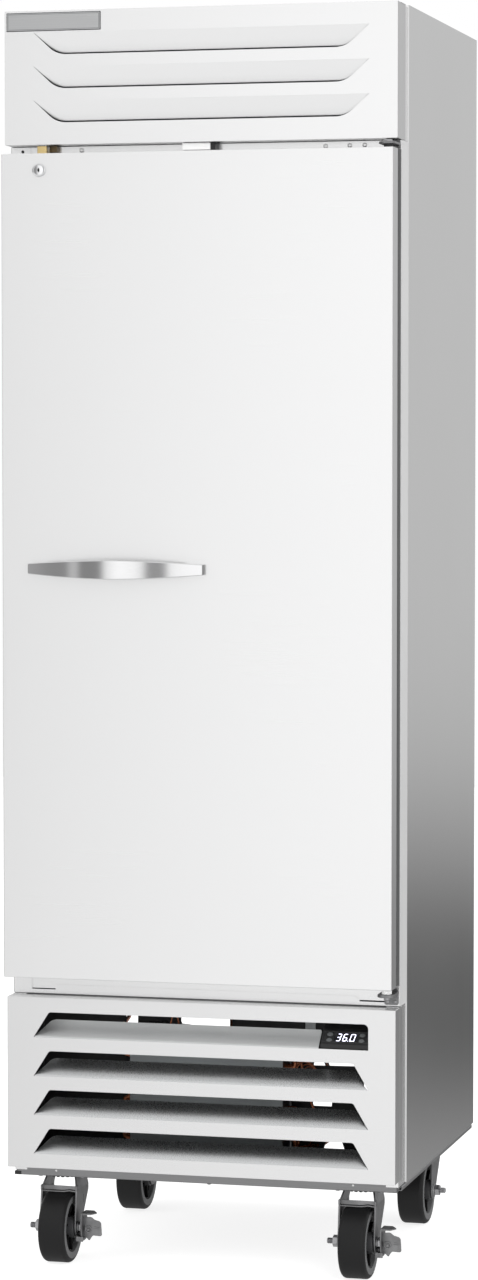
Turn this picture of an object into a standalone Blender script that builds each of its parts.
"""Reach-in refrigerator, single solid door, bottom-mounted condensing unit.

Metres, +Z up.  The front faces -Y, the hinge side is +X, and the origin is on
the floor under the middle of the cabinet's width.  Sheet-metal shells, foam
blocks, hinge hardware, shelves, the evaporator, the condensing unit and the
four swivel casters are each their own solid.
"""
import math
from collections import namedtuple

import bmesh
import bpy
from mathutils import Matrix, Vector

# ---------------------------------------------------------------- driving sizes
HALF_W = 0.3460            # header, grille and side panels, half width
REAR_Y = 0.3850            # back edge of the side panels
SIDE_FRONT_Y = -0.2191     # front edge of the side panels
FRAME_Y = -0.2760          # face that the door gasket seals on
SIDE_Z0, TOP_Z = 0.1634, 2.1817
SHEET = 0.0015

HEAD_FRONT_Y, HEAD_BACK_Y = -0.3100, -0.2460
HEAD_Z0, HEAD_Z1 = 1.9506, 2.1797
LOUVRE_TOPS = (2.1420, 2.0840, 2.0257)
LOUVRE_DROP = 0.0375

GRILLE_FRONT_Y, GRILLE_BACK_Y = -0.3120, -0.2550
GRILLE_Z0, GRILLE_Z1 = 0.1755, 0.4755
SLOT_COUNT, SLOT_Z0, SLOT_H, SLOT_PITCH = 4, 0.2008, 0.0445, 0.0681

DOOR_Y0, DOOR_Y1 = -0.3365, -0.2985
DOOR_HALF = 0.3443
DOOR_Z0, DOOR_Z1 = 0.5122, 1.9341
DOOR_SHEET = 0.0012
HINGE_X, HINGE_Y = 0.3320, -0.3180

OPEN_HALF, OPEN_Z0, OPEN_Z1 = 0.2850, 0.5450, 1.8950                   # cabinet opening
CAV_HALF, CAV_Y1, CAV_Z0, CAV_Z1 = 0.2905, 0.3305, 0.5400, 2.1250      # room in the foam

BASE_FRONT_Y, BASE_BACK_Y = -0.2750, 0.3710
BASE_Z0, BASE_Z1 = 0.1469, 0.1630

LOCK_X, LOCK_Y, LOCK_Z = -0.2759, -0.3415, 1.9052
BOLT_X = -0.2803

HANDLE_X0, HANDLE_X1, HANDLE_Z = -0.2980, 0.0165, 1.2225
HANDLE_FRONT_Y = -0.3850
HANDLE_END_Y = -0.3495     # front of the handle at its two ends
HANDLE_SEAT_Y = -0.3368    # back of the handle, against the door

SHELF_LEVELS = (("lower", 0.740), ("middle", 1.070), ("upper", 1.400))

EVAP_FAN = (0.0, -0.1050, 2.0290)              # fan centre
COND_X, COND_Y, COND_Z = (-0.163, 0.112), (-0.165, -0.112), (0.172, 0.385)
COND_FAN = (-0.0255, -0.0930, 0.2790)          # fan centre

CASTER_X = 0.2684
CASTER_FRONT_Y, CASTER_REAR_Y = -0.2170, 0.2690      # swivel axes
TRAIL = 0.0350                                 # wheel axle ahead of the swivel axis
WHEEL_R, TREAD_HALF = 0.0625, 0.0240

# ------------------------------------------------------------------------ looks
Look = namedtuple("Look", "color roughness metallic")

STEEL = Look(color=(0.62, 0.62, 0.62), roughness=0.32, metallic=1.0)
WHITE = Look(color=(0.86, 0.86, 0.86), roughness=0.35, metallic=0.0)
ZINC = Look(color=(0.45, 0.45, 0.44), roughness=0.45, metallic=1.0)
BLACK = Look(color=(0.02, 0.02, 0.02), roughness=0.5, metallic=0.0)
RUBBER = Look(color=(0.035, 0.035, 0.035), roughness=0.7, metallic=0.0)
COPPER = Look(color=(0.72, 0.32, 0.18), roughness=0.3, metallic=1.0)
BRASS = Look(color=(0.78, 0.58, 0.26), roughness=0.3, metallic=1.0)
FOAM = Look(color=(0.85, 0.76, 0.50), roughness=0.9, metallic=0.0)
ALUMINIUM = Look(color=(0.75, 0.76, 0.77), roughness=0.4, metallic=1.0)
BUTTON_GREY = Look(color=(0.30, 0.31, 0.32), roughness=0.5, metallic=0.0)
SHELF_METAL = Look(color=(0.7, 0.7, 0.7), roughness=0.35, metallic=1.0)
LIGHT_COVER = Look(color=(0.95, 0.96, 0.97), roughness=0.4, metallic=0.0)
LOCK_METAL = Look(color=(0.75, 0.75, 0.75), roughness=0.2, metallic=1.0)
COIL_DARK = Look(color=(0.18, 0.20, 0.22), roughness=0.5, metallic=0.6)
FAN_METAL = Look(color=(0.3, 0.3, 0.32), roughness=0.4, metallic=0.9)
BOX_METAL = Look(color=(0.4, 0.4, 0.4), roughness=0.5, metallic=0.8)


def material(name, look):
    mat = bpy.data.materials.new(name)
    mat.use_nodes = True
    shader = mat.node_tree.nodes["Principled BSDF"]
    shader.inputs["Base Color"].default_value = (*look.color, 1.0)
    shader.inputs["Roughness"].default_value = look.roughness
    shader.inputs["Metallic"].default_value = look.metallic
    mat.diffuse_color = (*look.color, 1.0)
    return mat


# ------------------------------------------------------------------------ scene
for old in list(bpy.data.objects):
    bpy.data.objects.remove(old, do_unlink=True)


def collection(name):
    found = bpy.data.collections.get(name) or bpy.data.collections.new(name)
    if found.name not in bpy.context.scene.collection.children:
        bpy.context.scene.collection.children.link(found)
    return found


PARTS = collection("reach_in_refrigerator")
CUTTERS = collection("cutters")


# ---------------------------------------------------------------------- helpers
# Every maker takes a look.  Without one it makes a hidden boolean tool.
def mesh_object(name, mesh, look):
    ob = bpy.data.objects.new(name, mesh)
    if look is None:
        CUTTERS.objects.link(ob)
        ob.hide_render = True
        ob.display_type = "WIRE"
    else:
        PARTS.objects.link(ob)
        mesh.materials.append(material(name + "_look", look))
    return ob


def bmesh_object(name, bm, look=None):
    mesh = bpy.data.meshes.new(name)
    bm.normal_update()
    bm.to_mesh(mesh)
    bm.free()
    return mesh_object(name, mesh, look)


def both(half):
    """Span symmetric about zero."""
    return (-half, half)


def about(centre, half):
    return (centre - half, centre + half)


def repeat_span(start, width, pitch, count):
    return [(start + i * pitch, start + i * pitch + width) for i in range(count)]


def add_block(bm, x, y, z):
    """Add a box given by its spans; returns its vertices."""
    spans = (x, y, z)
    centre = Matrix.Translation([(a + b) / 2 for a, b in spans])
    size = Matrix.Diagonal([abs(b - a) for a, b in spans] + [1.0])
    return bmesh.ops.create_cube(bm, size=1.0, matrix=centre @ size)["verts"]


AXIS_TURN = {"Z": Matrix.Identity(4),
             "X": Matrix.Rotation(math.pi / 2, 4, "Y"),
             "Y": Matrix.Rotation(-math.pi / 2, 4, "X")}


def add_drum(bm, radius, depth, centre, axis, segments):
    return bmesh.ops.create_cone(
        bm, cap_ends=True, cap_tris=False, segments=segments,
        radius1=radius, radius2=radius, depth=depth,
        matrix=Matrix.Translation(centre) @ AXIS_TURN[axis])["verts"]


def boxes(name, rows, look=None):
    """One object from several boxes; each row is (x span, y span, z span)."""
    bm = bmesh.new()
    for x, y, z in rows:
        add_block(bm, x, y, z)
    return bmesh_object(name, bm, look)


def box(name, x, y, z, look=None):
    return boxes(name, [(x, y, z)], look)


def cylinder(name, radius, depth, centre, axis, segments, look=None):
    bm = bmesh.new()
    add_drum(bm, radius, depth, centre, axis, segments)
    ob = bmesh_object(name, bm, look)
    ob.data.shade_smooth()
    ob.data.set_sharp_from_angle(angle=math.radians(35))
    return ob


def slat(name, thickness, top, bottom):
    """Leaning sheet; its two edges are (x0, x1, front y, z)."""
    bm = bmesh.new()
    for v in add_block(bm, (0, 1), (0, thickness), (0, 1)):
        x0, x1, y, z = top if v.co.z > 0.5 else bottom
        v.co = (x1 if v.co.x > 0.5 else x0, v.co.y + y, z)
    return bmesh_object(name, bm)


def add_boolean(part, tool, operation):
    md = part.modifiers.new(operation.lower(), "BOOLEAN")
    md.operation = operation
    md.object = tool
    md.solver = "EXACT"


def cut(part, *tools):
    for tool in tools:
        add_boolean(part, tool, "DIFFERENCE")


def unite(part, *tools):
    for tool in tools:
        add_boolean(part, tool, "UNION")


def sheet_xz(y):
    """Frame of a sheet drawn in (x, z), thickness along y."""
    return Matrix.Translation((0, y, 0)) @ Matrix.Rotation(math.pi / 2, 4, "X")


def sheet_yz(x):
    """Frame of a sheet drawn in (y, z), thickness along x."""
    return Matrix(((0, 0, 1, x), (1, 0, 0, 0), (0, 1, 0, 0), (0, 0, 0, 1)))


def sheet_xy(z):
    """Frame of a sheet drawn in (x, y), thickness along z."""
    return Matrix.Translation((0, 0, z))


def add_spline(curve, points):
    spline = curve.splines.new("POLY")
    spline.points.add(len(points) - 1)
    for point, co in zip(spline.points, points):
        point.co = (*co, 1.0)
    return spline


def curve_object(name, curve, frame, look):
    """Turn a curve into a welded mesh, placed by the frame matrix."""
    source = bpy.data.objects.new(name + "_curve", curve)
    bpy.context.scene.collection.objects.link(source)
    bpy.context.view_layer.update()
    depsgraph = bpy.context.evaluated_depsgraph_get()
    mesh = bpy.data.meshes.new_from_object(source.evaluated_get(depsgraph))
    bm = bmesh.new()
    bm.from_mesh(mesh)
    bmesh.ops.remove_doubles(bm, verts=bm.verts, dist=1e-5)
    bmesh.ops.transform(bm, matrix=frame, verts=bm.verts)
    bmesh.ops.recalc_face_normals(bm, faces=bm.faces)
    bm.to_mesh(mesh)
    bm.free()
    bpy.data.objects.remove(source, do_unlink=True)
    mesh.name = name
    return mesh_object(name, mesh, look)


def plate(name, outlines, thickness, frame, look=None):
    """Flat sheet: closed outlines (the outer edge, then holes), extruded."""
    curve = bpy.data.curves.new(name + "_outline", "CURVE")
    curve.dimensions = "2D"
    curve.fill_mode = "BOTH"
    curve.extrude = thickness / 2
    for outline in outlines:
        spline = add_spline(curve, [(u, v, 0.0) for u, v in outline])
        spline.use_cyclic_u = True
    return curve_object(name, curve, frame, look)


def tube(name, points, radius, look):
    curve = bpy.data.curves.new(name + "_path", "CURVE")
    curve.dimensions = "3D"
    curve.bevel_depth = radius
    curve.bevel_resolution = 2
    curve.use_fill_caps = True
    add_spline(curve, points)
    ob = curve_object(name, curve, Matrix.Identity(4), look)
    ob.data.shade_smooth()
    return ob


def turned(name, profile, centre, axis, segments, look=None, closed=False):
    """Profile of (radius, height) turned about the axis by a screw modifier."""
    bm = bmesh.new()
    verts = [bm.verts.new((radius, 0.0, height)) for radius, height in profile]
    if closed:
        verts.append(verts[0])
    for start, end in zip(verts, verts[1:]):
        bm.edges.new((start, end))
    ob = bmesh_object(name, bm, look)
    screw = ob.modifiers.new("turn", "SCREW")
    screw.steps = screw.render_steps = segments
    screw.use_merge_vertices = True
    screw.merge_threshold = 0.00005
    screw.use_smooth_shade = True
    ob.matrix_world = Matrix.Translation(centre) @ AXIS_TURN[axis]
    return ob


# --------------------------------------------------------------- cabinet shells
def side_panel(name, side):
    """Flat side with a return flange at the front and the back."""
    flange = 0.0140
    outer = side * HALF_W
    inner = side * (HALF_W - SHEET)
    lip = side * (HALF_W - flange)
    outline = [(outer, SIDE_FRONT_Y), (outer, REAR_Y), (lip, REAR_Y), (lip, REAR_Y - SHEET),
               (inner, REAR_Y - SHEET), (inner, SIDE_FRONT_Y + SHEET),
               (lip, SIDE_FRONT_Y + SHEET), (lip, SIDE_FRONT_Y)]
    plate(name, [outline], TOP_Z - SIDE_Z0, sheet_xy((TOP_Z + SIDE_Z0) / 2), STEEL)


def top_back_panel():
    """Roof and back in one folded sheet, between the side panels."""
    thickness, side_gap = 0.0012, 0.0004
    front_y, back_y, bottom_z = -0.2172, 0.3829, 0.4780
    outline = [(front_y, TOP_Z - thickness), (front_y, TOP_Z), (back_y, TOP_Z),
               (back_y, bottom_z), (back_y - thickness, bottom_z),
               (back_y - thickness, TOP_Z - thickness)]
    plate("top_back_panel", [outline], 2 * (HALF_W - SHEET - side_gap), sheet_yz(0.0), STEEL)


def front_frame():
    """Sealing face round the opening, with posts down to the base."""
    frame = box("front_frame", both(0.3440), (FRAME_Y, -0.2195), (0.1645, 2.1776), WHITE)
    unite(frame, box("front_frame_skin", both(0.3455), (FRAME_Y, -0.2196), (0.4770, 1.9500)))
    through_y = (-0.30, -0.20)
    cut(frame,
        box("front_frame_opening", both(OPEN_HALF), through_y, (OPEN_Z0, OPEN_Z1)),
        box("front_frame_service", both(0.3220), through_y, (0.10, 0.4772)))


def foam_insulation():
    foam = box("foam_insulation", both(0.3435), (-0.2170, 0.3812), (0.4775, 2.1800), FOAM)
    cut(foam, box("foam_cavity", both(CAV_HALF), (-0.30, CAV_Y1), (CAV_Z0, CAV_Z1)))


def interior_liner():
    """Open-fronted liner with two shelf standards up each side wall."""
    outer, inner = 0.0004, 0.0020      # liner faces, in from the foam cavity
    liner = box("interior_liner", both(CAV_HALF - outer), (-0.2188, CAV_Y1 - outer),
                (CAV_Z0 + outer, CAV_Z1 - outer), ALUMINIUM)
    cut(liner, box("liner_room", both(CAV_HALF - inner), (-0.30, CAV_Y1 - inner),
                   (CAV_Z0 + inner, CAV_Z1 - inner)))
    unite(liner, boxes("liner_standards",
                       [((side * 0.2840, side * 0.2895), about(y, 0.008), (0.560, 1.880))
                        for side in (-1, 1) for y in (-0.150, 0.250)]))


def base_frame():
    """Shallow inverted tray, with an opening and a front upstand."""
    half, wall = 0.3455, 0.0020
    base = box("base_frame", both(half), (BASE_FRONT_Y, BASE_BACK_Y), (BASE_Z0, BASE_Z1), STEEL)
    cut(base,
        box("base_underside", both(half - wall), (BASE_FRONT_Y + wall, BASE_BACK_Y - wall),
            (0.10, BASE_Z1 - wall)),
        box("base_vent", (0.010, 0.235), (-0.080, 0.290), (0.10, 0.20)))
    unite(base, box("base_upstand", both(0.3210), (BASE_FRONT_Y, -0.2732),
                    (BASE_Z1 - 0.004, 0.1740)))


def header_panel():
    """Folded pan with three louvres whose slats lean inwards."""
    inner_half = HALF_W - SHEET
    under_z = about(HEAD_Z0, 0.01)
    head = box("header_panel", both(HALF_W), (HEAD_FRONT_Y, HEAD_BACK_Y), (HEAD_Z0, HEAD_Z1),
               WHITE)
    cut(head,
        box("header_hollow", both(inner_half), (HEAD_FRONT_Y + SHEET, 0.0),
            (HEAD_Z0 + SHEET, HEAD_Z1 - SHEET)),
        box("header_behind", both(inner_half), (-0.2835, 0.0), under_z),
        box("header_strike_slot", about(BOLT_X, 0.0100), (-0.3083, -0.2998), under_z))
    for i, top in enumerate(LOUVRE_TOPS):
        bottom = top - LOUVRE_DROP
        slit = [(-0.2935, top), (0.2965, top), (0.262, bottom + 0.007),
                (0.2410, bottom), (-0.2390, bottom), (-0.262, bottom + 0.009)]
        cut(head, plate(f"header_slit_{i}", [slit], 0.02, sheet_xz(HEAD_FRONT_Y)))
    slat_thickness, overlap, lean = 0.0012, 0.0015, 0.0110
    for i, top in enumerate(LOUVRE_TOPS):
        unite(head, slat(f"header_slat_{i}", slat_thickness,
                         top=(-0.291, 0.293, HEAD_FRONT_Y + 0.0002, top + overlap),
                         bottom=(-0.241, 0.243, HEAD_FRONT_Y + lean,
                                 top - LOUVRE_DROP + overlap)))


def front_grille():
    """Folded pan with four slots, each with a blade rising inwards."""
    inner_half = HALF_W - SHEET
    grille = box("front_grille", both(HALF_W), (GRILLE_FRONT_Y, GRILLE_BACK_Y),
                 (GRILLE_Z0, GRILLE_Z1), WHITE)
    cut(grille,
        box("grille_hollow", both(inner_half), (GRILLE_FRONT_Y + SHEET, 0.0),
            (GRILLE_Z0 + SHEET, GRILLE_Z1 - SHEET)),
        box("grille_behind", both(inner_half), (-0.2770, 0.0),
            (GRILLE_Z0 - 0.01, GRILLE_Z1 + 0.01)))
    slot_bottoms = [SLOT_Z0 + SLOT_PITCH * i for i in range(SLOT_COUNT)]
    last = SLOT_COUNT - 1              # the top slot differs at its right end
    for i, bottom in enumerate(slot_bottoms):
        top = bottom + SLOT_H
        left = [(-0.2982, bottom), (-0.2785, top - 0.009), (-0.2700, top)]
        right = [(0.2722, top), (0.2984, bottom)]
        if i == last:
            right = [(0.2904, top), (0.2960, top - 0.0024), (0.2984, top - 0.008),
                     (0.2984, bottom)]
        cut(grille, plate(f"grille_slot_{i}", [left + right], 0.02, sheet_xz(GRILLE_FRONT_Y)))
    blade_left = -0.2960
    for i, bottom in enumerate(slot_bottoms):
        blade_right = 0.2115 if i == last else 0.2960
        unite(grille, slat(
            f"grille_blade_{i}", SHEET,
            top=(blade_left, blade_right, GRILLE_FRONT_Y + 0.0290, bottom + 0.0280),
            bottom=(blade_left, blade_right, GRILLE_FRONT_Y + 0.0002, bottom - 0.0020)))


# ------------------------------------------------------------------- controller
# In this frame the controller's face looks along -y and its upper edge is at +z.
CONTROLLER_FRAME = (Matrix.Translation((0.2560, -0.3000, 0.4235))
                    @ Matrix.Rotation(-math.radians(45), 4, "X"))
# name, x and z of the centre in the controller's frame
BUTTONS = (("button_upper_left", -0.0275, 0.0062), ("button_lower_left", -0.0275, -0.0058),
           ("button_upper_right", 0.0290, 0.0062), ("button_lower_right", 0.0290, -0.0058))


def controller_oval(name, half_x, half_z, depth, centre, look=None):
    """Oval drum in the controller's frame."""
    bm = bmesh.new()
    for v in add_drum(bm, 1.0, depth, (0, 0, 0), "Y", 20):
        v.co.x *= half_x
        v.co.z *= half_z
        v.co += Vector(centre)
    ob = bmesh_object(name, bm, look)
    ob.data.transform(CONTROLLER_FRAME)
    return ob


def controller():
    housing = box("controller_housing", both(0.0400), (0.0, 0.0340), (-0.0135, 0.0140), BLACK)
    housing.data.transform(CONTROLLER_FRAME)
    half_x, half_z, clearance = 0.0050, 0.0040, 0.0004
    for name, x, z in BUTTONS:
        cut(housing, controller_oval(name + "_bore", half_x + clearance, half_z + clearance,
                                     0.0100, (x, 0.0, z)))
        controller_oval(name, half_x, half_z, 0.0044, (x, 0.0010, z), BUTTON_GREY)


# --------------------------------------------------------------------- interior
def wire_shelf(name, z):
    """Flat grid: two rows of ten gaps, with bars as wide as they are thick."""
    half, front, back, bar, columns = 0.2810, -0.1900, 0.3000, 0.0070, 10
    middle = (front + back) / 2
    gap = (2 * half - 2 * bar - (columns - 1) * bar) / columns
    shelf = box(name, both(half), (front, back), (z, z + bar), SHELF_METAL)
    cut(shelf, boxes(name + "_gaps",
                     [(x, y, (z - 0.01, z + 0.02))
                      for x in repeat_span(-half + bar, gap, gap + bar, columns)
                      for y in ((front + bar, middle - bar / 2),
                                (middle + bar / 2, back - bar))]))


def evaporator_cover():
    half, front, back, bottom = 0.2550, -0.1200, 0.3000, 1.9350
    cover = box("evaporator_cover", both(half), (front, back), (bottom, 2.1215), ALUMINIUM)
    cut(cover,
        box("evaporator_cover_room", both(half - SHEET), (front + SHEET, back - SHEET),
            (bottom + SHEET, 2.20)),
        cylinder("evaporator_fan_hole", 0.0700, 0.05, (EVAP_FAN[0], front, EVAP_FAN[2]), "Y", 28),
        boxes("evaporator_return", [(x, (0.20, 0.27), (1.90, 1.95))
                                    for x in repeat_span(-0.20, 0.040, 0.057, 7)]))


def evaporator_coil():
    coil = box("evaporator_coil", both(0.2100), (0.0200, 0.1500), (1.9450, 2.1100), ALUMINIUM)
    cut(coil, boxes("evaporator_fins", [(x, (0.010, 0.030), (1.950, 2.105))
                                        for x in repeat_span(-0.205, 0.023, 0.0342, 12)]))


def fan(name, centre, radius, hub_radius, depth, twist, chord, look):
    """Hub along y with five flat blades, narrowed at the root and twisted."""
    blades, half_thickness, root_taper, start_angle = 5, 0.0009, 0.62, 0.3
    hub = cylinder(name, hub_radius, depth, centre, "Y", 20, look)
    for i in range(blades):
        bm = bmesh.new()
        for v in add_block(bm, (hub_radius * 0.55, radius), both(half_thickness),
                           both(chord / 2)):
            if v.co.x < radius * 0.6:
                v.co.z *= root_taper
        angle = 2 * math.pi * i / blades + start_angle
        bmesh.ops.rotate(bm, verts=bm.verts, matrix=Matrix.Rotation(twist, 3, "X"))
        bmesh.ops.rotate(bm, verts=bm.verts, matrix=Matrix.Rotation(angle, 3, "Y"))
        bmesh.ops.translate(bm, verts=bm.verts, vec=centre)
        unite(hub, bmesh_object(f"{name}_blade_{i}", bm))


def evaporator_fan():
    fan("evaporator_fan_blade", EVAP_FAN, radius=0.0640, hub_radius=0.0180, depth=0.0160,
        twist=0.55, chord=0.034, look=BLACK)
    x, _, z = EVAP_FAN
    motor = cylinder("evaporator_fan_motor", 0.0280, 0.0500, (x, -0.0660, z), "Y", 24, BLACK)
    unite(motor,
          cylinder("evaporator_motor_cap", 0.0200, 0.0060, (x, -0.0935, z), "Y", 20),
          box("evaporator_motor_foot", both(0.0120), (-0.0740, -0.0580), (1.9370, 2.0100)))


def interior_light():
    box("interior_light", both(0.1900), (-0.1180, -0.0860), (1.9170, 1.9346), LIGHT_COVER)


# ----------------------------------------------------------------------- hinges
# (x, y) of the arm, seen from above
HINGE_ARM = [(0.3160, -0.2778), (0.3450, -0.2778), (0.3450, -0.3240),
             (0.3400, -0.3300), (0.3240, -0.3300), (0.3160, -0.3200)]
# (radius, z), from the top down
TOP_PIN = [(0.0, 1.9474), (0.0070, 1.9474), (0.0070, 1.9444),
           (0.0042, 1.9444), (0.0042, 1.9090), (0.0, 1.9090)]
BOTTOM_PIN = [(0.0, 0.5400), (0.0052, 0.5400), (0.0052, 0.5112), (0.0085, 0.5112),
              (0.0085, 0.5039), (0.0052, 0.5039), (0.0052, 0.4940), (0.0, 0.4940)]


def hinge_bracket(name, arm_z, thickness, foot_z, eye_radius):
    bracket = plate(name, [HINGE_ARM], thickness, sheet_xy(arm_z + thickness / 2), ZINC)
    unite(bracket, box(name + "_foot", (0.3000, 0.3438), (-0.2800, -0.2765), foot_z))
    cut(bracket, cylinder(name + "_eye", eye_radius, 0.03, (HINGE_X, HINGE_Y, arm_z), "Z", 20))


def hinges():
    hinge_bracket("top_hinge_bracket", arm_z=1.9400, thickness=0.0040,
                  foot_z=(1.9385, 1.9850), eye_radius=0.0046)
    hinge_bracket("bottom_hinge_bracket", arm_z=0.4985, thickness=0.0050,
                  foot_z=(0.4800, 0.5085), eye_radius=0.0056)
    turned("top_hinge_pin", TOP_PIN, (HINGE_X, HINGE_Y, 0), "Z", 20, ZINC)
    turned("bottom_hinge_pin", BOTTOM_PIN, (HINGE_X, HINGE_Y, 0), "Z", 20, ZINC)


# ------------------------------------------------------------------------- door
TOP_BORE_R, BOTTOM_BORE_R = 0.0048, 0.0058       # door bores for the hinge pins


def hinge_bore(name, radius, depth, z):
    return cylinder(name, radius, depth, (HINGE_X, HINGE_Y, z), "Z", 20)


def door_outer_skin():
    skin = box("door_outer_skin", both(DOOR_HALF), (DOOR_Y0, DOOR_Y1), (DOOR_Z0, DOOR_Z1), WHITE)
    cut(skin,
        box("door_hollow", both(DOOR_HALF - DOOR_SHEET), (DOOR_Y0 + DOOR_SHEET, 0.0),
            (DOOR_Z0 + DOOR_SHEET, DOOR_Z1 - DOOR_SHEET)),
        cylinder("door_lock_bore", 0.0106, 0.02, (LOCK_X, DOOR_Y0, LOCK_Z), "Y", 24),
        box("door_bolt_slot", about(BOLT_X, 0.0095), (-0.3080, -0.3000), about(DOOR_Z1, 0.01)),
        hinge_bore("door_top_eye", TOP_BORE_R, 0.02, DOOR_Z1),
        hinge_bore("door_bottom_eye", BOTTOM_BORE_R, 0.02, DOOR_Z0))


def door_foam():
    inset = DOOR_SHEET + 0.0003
    foam = box("door_foam", both(DOOR_HALF - inset), (DOOR_Y0 + inset, -0.3008),
               (DOOR_Z0 + inset, DOOR_Z1 - inset), FOAM)
    cut(foam,
        box("door_lock_pocket", (-0.3000, -0.2550), (-0.34, -0.29), (1.8840, 1.94)),
        hinge_bore("door_top_socket", TOP_BORE_R, 0.06, 1.9355),
        hinge_bore("door_bottom_socket", BOTTOM_BORE_R, 0.06, 0.5135))


def door_inner_panel():
    """Back sheet of the door, with a hollow raised field."""
    half, back, bottom, top, wall = 0.2700, -0.2640, 0.5620, 1.8780, 0.0020
    panel = box("door_inner_panel", both(0.3425), (-0.3004, DOOR_Y1), (0.5140, 1.9323), WHITE)
    unite(panel, box("door_inner_raise", both(half), (-0.2995, back), (bottom, top)))
    cut(panel, box("door_inner_pocket", both(half - wall), (-0.31, back - wall),
                   (bottom + wall, top - wall)))


def door_gasket():
    half, bottom, top, width = 0.3300, 0.5265, 1.9205, 0.0220
    gasket = box("door_gasket", both(half), (-0.2982, -0.2766), (bottom, top), BLACK)
    cut(gasket, box("door_gasket_window", both(half - width), (-0.31, -0.26),
                    (bottom + width, top - width)))


def door_handle():
    """Bow handle: outline seen from above, its height swelling to the middle."""
    steps = 16
    length = HANDLE_X1 - HANDLE_X0
    end_pad, arch_share = 0.085, 0.83        # as shares of the length
    arch_y = HANDLE_FRONT_Y + 0.0050         # back of the grip at mid length
    front, back = [], []
    for i in range(steps + 1):
        t = i / steps
        bow = 1.0 - (2 * t - 1) ** 2
        front.append((HANDLE_X0 + length * t,
                      HANDLE_END_Y + (HANDLE_FRONT_Y - HANDLE_END_Y) * bow))
        t = end_pad + arch_share * i / steps
        u = (2 * t - 1) / arch_share
        arch = max(0.0, 1.0 - abs(u) ** 2.6)
        back.append((HANDLE_X0 + length * t, HANDLE_SEAT_Y + (arch_y - HANDLE_SEAT_Y) * arch))
    outline = front + [(HANDLE_X1, HANDLE_SEAT_Y)] + back[::-1] + [(HANDLE_X0, HANDLE_SEAT_Y)]
    handle = plate("door_handle", [outline], 0.0320, sheet_xy(0.0), STEEL)
    middle = (HANDLE_X0 + HANDLE_X1) / 2
    for v in handle.data.vertices:
        u = abs(v.co.x - middle) / (length / 2)
        v.co.z = HANDLE_Z + v.co.z * (1.0 - 0.45 * u ** 1.7)


# (radius, distance behind the lock's face), from the rear end forward
LOCK_PROFILE = [(0.0, 0.0290), (0.0100, 0.0290), (0.0100, 0.0047), (0.01175, 0.0047),
                (0.01175, 0.0010), (0.0105, 0.0), (0.0, 0.0)]


def door_lock():
    lock = turned("lock_cylinder", LOCK_PROFILE, (LOCK_X, LOCK_Y, LOCK_Z), "Y", 24, LOCK_METAL)
    unite(lock, box("lock_cam", about(LOCK_X, 0.0040), (-0.3140, -0.3110),
                    (LOCK_Z - 0.0160, LOCK_Z)))
    cut(lock, box("lock_keyway", about(LOCK_X, 0.0009), (-0.35, -0.3340),
                  about(LOCK_Z, 0.0035)))
    box("lock_bolt", about(BOLT_X, 0.0085), (-0.3070, -0.3010), (1.8950, 1.9488), BRASS)


def door_switch():
    box("door_switch", (-0.0317, 0.0177), (-0.3010, -0.2765), (1.9375, 1.9498), WHITE)


# -------------------------------------------------------------- condensing unit
# (radius, z), from the top down
COMPRESSOR_PROFILE = [(0.0, 0.3700), (0.0400, 0.3660), (0.0640, 0.3520), (0.0760, 0.3250),
                      (0.0780, 0.2900), (0.0780, 0.2300), (0.0720, 0.2000),
                      (0.0540, 0.1860), (0.0, 0.1800)]


def compressor():
    shell = turned("compressor", COMPRESSOR_PROFILE, (-0.1650, 0.1100, 0.0), "Z", 24, BLACK)
    unite(shell, box("compressor_foot", (-0.2550, -0.0750), (0.0500, 0.1700), (0.1640, 0.1900)))


def condenser_coil():
    """Coil block with upright grooves in its front face."""
    coil = box("condenser_coil", COND_X, COND_Y, COND_Z, COIL_DARK)
    groove_y = (COND_Y[0] - 0.01, COND_Y[0] + 0.012)
    groove_z = (COND_Z[0] + 0.012, COND_Z[1] - 0.012)
    cut(coil, boxes("condenser_fins", [(x, groove_y, groove_z) for x in
                                       repeat_span(COND_X[0] + 0.008, 0.014, 0.0220, 12)]))


def condenser_fan():
    (x0, x1), (z0, z1) = COND_X, COND_Z
    x, _, z = COND_FAN
    hole_radius, hole_points = 0.0960, 32
    angles = [i * 2 * math.pi / hole_points for i in range(hole_points)]
    hole = [(x + hole_radius * math.cos(a), z + hole_radius * math.sin(a)) for a in angles]
    plate("fan_shroud", [[(x0, z0), (x1, z0), (x1, z1), (x0, z1)], hole],
          0.0180, sheet_xz(-0.1020), BLACK)
    fan("condenser_fan_blade", COND_FAN, radius=0.0900, hub_radius=0.0200, depth=0.0200,
        twist=0.5, chord=0.050, look=FAN_METAL)
    motor = cylinder("condenser_fan_motor", 0.0400, 0.0560, (x, -0.0420, z), "Y", 24, BLACK)
    unite(motor,
          cylinder("condenser_motor_cap", 0.0260, 0.0090, (x, -0.0735, z), "Y", 20),
          box("condenser_motor_foot", about(x, 0.0250), (-0.0560, -0.0280), (0.1636, 0.2600)))


def condensate_pan():
    (x0, x1), (y0, y1), bottom = (-0.3250, -0.0500), (0.2150, 0.3550), 0.1636
    pan = box("condensate_pan", (x0, x1), (y0, y1), (bottom, 0.2000), ALUMINIUM)
    cut(pan, box("condensate_pan_well", (x0 + SHEET, x1 - SHEET), (y0 + SHEET, y1 - SHEET),
                 (bottom + SHEET, 0.25)))


def electrical_box():
    case = box("electrical_box", (0.2400, 0.3430), (0.0000, 0.1600), (0.3100, 0.4500), BOX_METAL)
    bevel = case.modifiers.new("edge", "BEVEL")
    bevel.width = 0.003
    bevel.segments = 1


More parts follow.
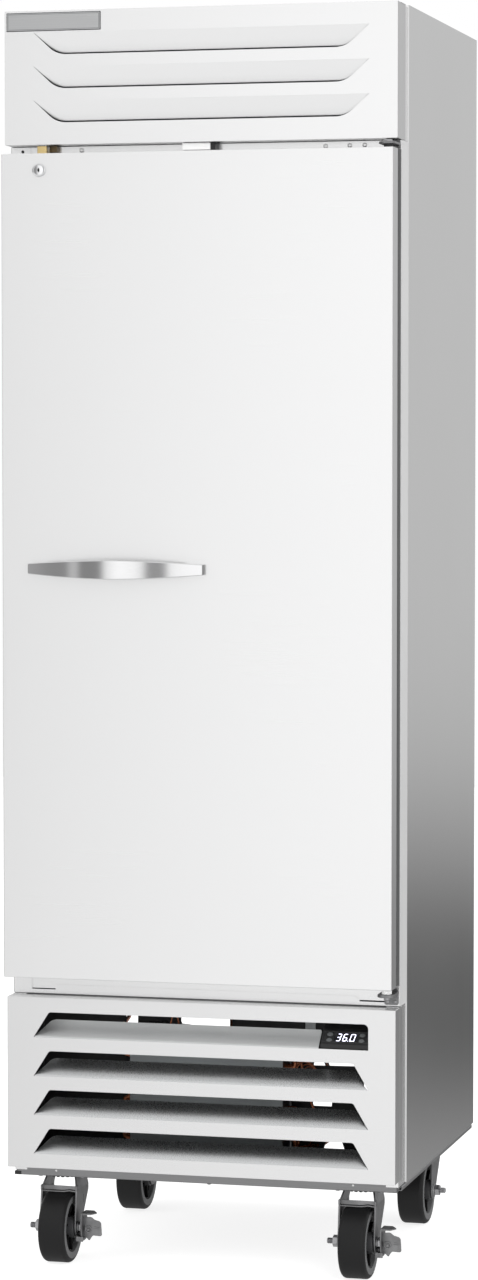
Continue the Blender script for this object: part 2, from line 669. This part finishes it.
def rounded_path(points, reach=0.02, steps=4):
    """Replace each corner of a poly-line with a curve that starts reach before it."""
    points = [Vector(p) for p in points]
    path = [points[0]]
    for before, corner, after in zip(points, points[1:], points[2:]):
        start = corner + (before - corner).normalized() * reach
        end = corner + (after - corner).normalized() * reach
        for i in range(steps + 1):
            t = i / steps
            path.append((1 - t) ** 2 * start + 2 * t * (1 - t) * corner + t * t * end)
    path.append(points[-1])
    return path


# (x, y, z) from the compressor up towards the cabinet
SUCTION_PATH = [(-0.0860, 0.1100, 0.3000), (-0.0500, 0.1100, 0.3000),
                (-0.0500, 0.1100, 0.4300), (0.0500, 0.2000, 0.4300),
                (0.0500, 0.2000, 0.4772)]


def suction_line():
    tube("suction_line", rounded_path(SUCTION_PATH), 0.0048, COPPER)


# ---------------------------------------------------------------------- casters
CASTER_TOP = BASE_Z1 - 0.0022 - 0.0003     # just under the sheet of the base tray
CROWN_TOP = CASTER_TOP - 0.0134
# (radius, depth below the caster's top) of the raceway cup and the king pin
CUP_PROFILE = [(0.0, 0.002), (0.0330, 0.002), (0.0360, 0.0090), (0.0300, 0.0130),
               (0.0060, 0.0130), (0.0060, 0.0225), (0.0100, 0.0225), (0.0090, 0.0260),
               (0.0, 0.0260)]
# (radius, distance along the axle): rounded tread, recessed flanks, long hub, bore
WHEEL_PROFILE = [(0.0440, TREAD_HALF), (0.0570, TREAD_HALF), (0.0610, 0.0225),
                 (WHEEL_R, 0.0180), (WHEEL_R, -0.0180), (0.0610, -0.0225),
                 (0.0570, -TREAD_HALF), (0.0440, -TREAD_HALF), (0.0420, -0.0150),
                 (0.0200, -0.0150), (0.0190, -0.0290), (0.0058, -0.0290),
                 (0.0058, 0.0290), (0.0190, 0.0290), (0.0200, 0.0150), (0.0420, 0.0150)]


def caster_plate(tag, x, y):
    """Top plate with the raceway cup and the king pin under it."""
    name = f"caster_plate_{tag}"
    top_plate = box(name, about(x, 0.0510), about(y, 0.0410),
                    (CASTER_TOP - 0.0040, CASTER_TOP), ZINC)
    cup = [(radius, CASTER_TOP - depth) for radius, depth in CUP_PROFILE]
    unite(top_plate, turned(name + "_cup", cup, (x, y, 0), "Z", 20))


def caster_fork(tag, x, y, axle_y):
    """Round crown, two legs that sweep forward to the axle, front bridge."""
    name = f"caster_fork_{tag}"
    crown = 0.0050
    fork = cylinder(name, 0.0380, crown, (x, y, CROWN_TOP - crown / 2), "Z", 24, ZINC)
    leg = [(y - 0.0330, CROWN_TOP), (y + 0.0300, CROWN_TOP), (y + 0.0250, CROWN_TOP - 0.0300),
           (axle_y + 0.0170, 0.0620), (axle_y + 0.0100, 0.0480), (axle_y - 0.0100, 0.0480),
           (axle_y - 0.0170, 0.0620), (axle_y - 0.0120, 0.1000)]
    for side in (-1, 1):
        unite(fork, plate(f"{name}_leg{side}", [leg], 0.0034, sheet_yz(x + side * 0.0316)))
    unite(fork, box(name + "_bridge", about(x, 0.0320), (y - 0.0290, y - 0.0260),
                    (0.1285, CROWN_TOP - 0.0020)))
    cut(fork,
        cylinder(name + "_eye", 0.0068, 0.03, (x, y, CROWN_TOP), "Z", 16),
        cylinder(name + "_bore", 0.0056, 0.12, (x, axle_y, WHEEL_R), "X", 16))


def caster_axle(tag, x, axle_y, nut_side):
    """Bolt along x with a hex nut on one side and a hex head on the other."""
    name = f"caster_axle_{tag}"
    bm = bmesh.new()
    add_drum(bm, 0.0052, 0.0960, (x + nut_side * 0.0080, axle_y, WHEEL_R), "X", 14)
    axle = bmesh_object(name, bm, ZINC)
    unite(axle,
          cylinder(name + "_nut", 0.0100, 0.0100,
                   (x + nut_side * 0.0400, axle_y, WHEEL_R), "X", 6),
          cylinder(name + "_head", 0.0100, 0.0060,
                   (x - nut_side * 0.0378, axle_y, WHEEL_R), "X", 6))


def brake_lever(tag, x, axle_y):
    """Cam plate beside the +X leg, with a step tab and a release paddle."""
    cam_x = x + 0.0430
    cam = [(axle_y - 0.0160, 0.0400), (axle_y + 0.0140, 0.0400), (axle_y + 0.0180, 0.0700),
           (axle_y + 0.0150, 0.0930), (axle_y - 0.0170, 0.0930), (axle_y - 0.0200, 0.0700)]
    lever = plate(f"brake_lever_{tag}", [cam], 0.0024, sheet_yz(cam_x), ZINC)
    unite(lever,
          box(f"brake_{tag}_tab", (cam_x - 0.0010, cam_x + 0.0240), about(axle_y, 0.0140),
              (0.0880, 0.0904)),
          box(f"brake_{tag}_paddle", (cam_x - 0.0010, x + 0.0765),
              (axle_y - 0.0030, axle_y - 0.0006), (0.0480, 0.0780)))


def caster(tag, x, y, braked):
    axle_y = y - TRAIL
    caster_plate(tag, x, y)
    caster_fork(tag, x, y, axle_y)
    turned(f"caster_wheel_{tag}", WHEEL_PROFILE, (x, axle_y, WHEEL_R), "X", 24, RUBBER,
           closed=True)
    caster_axle(tag, x, axle_y, nut_side=-1 if braked else 1)
    if braked:
        brake_lever(tag, x, axle_y)


# ------------------------------------------------------------------------ build
side_panel("left_side_panel", -1)
side_panel("right_side_panel", 1)
top_back_panel()
front_frame()
foam_insulation()
interior_liner()
base_frame()
header_panel()
front_grille()
controller()

for level, shelf_z in SHELF_LEVELS:
    wire_shelf(f"wire_shelf_{level}", shelf_z)
evaporator_cover()
evaporator_coil()
evaporator_fan()
interior_light()

hinges()
door_outer_skin()
door_foam()
door_inner_panel()
door_gasket()
door_handle()
door_lock()
door_switch()

compressor()
condenser_coil()
condenser_fan()
condensate_pan()
electrical_box()
suction_line()

for end, swivel_y, has_brake in (("front", CASTER_FRONT_Y, True), ("rear", CASTER_REAR_Y, False)):
    caster(f"{end}_left", -CASTER_X, swivel_y, has_brake)
    caster(f"{end}_right", CASTER_X, swivel_y, has_brake)
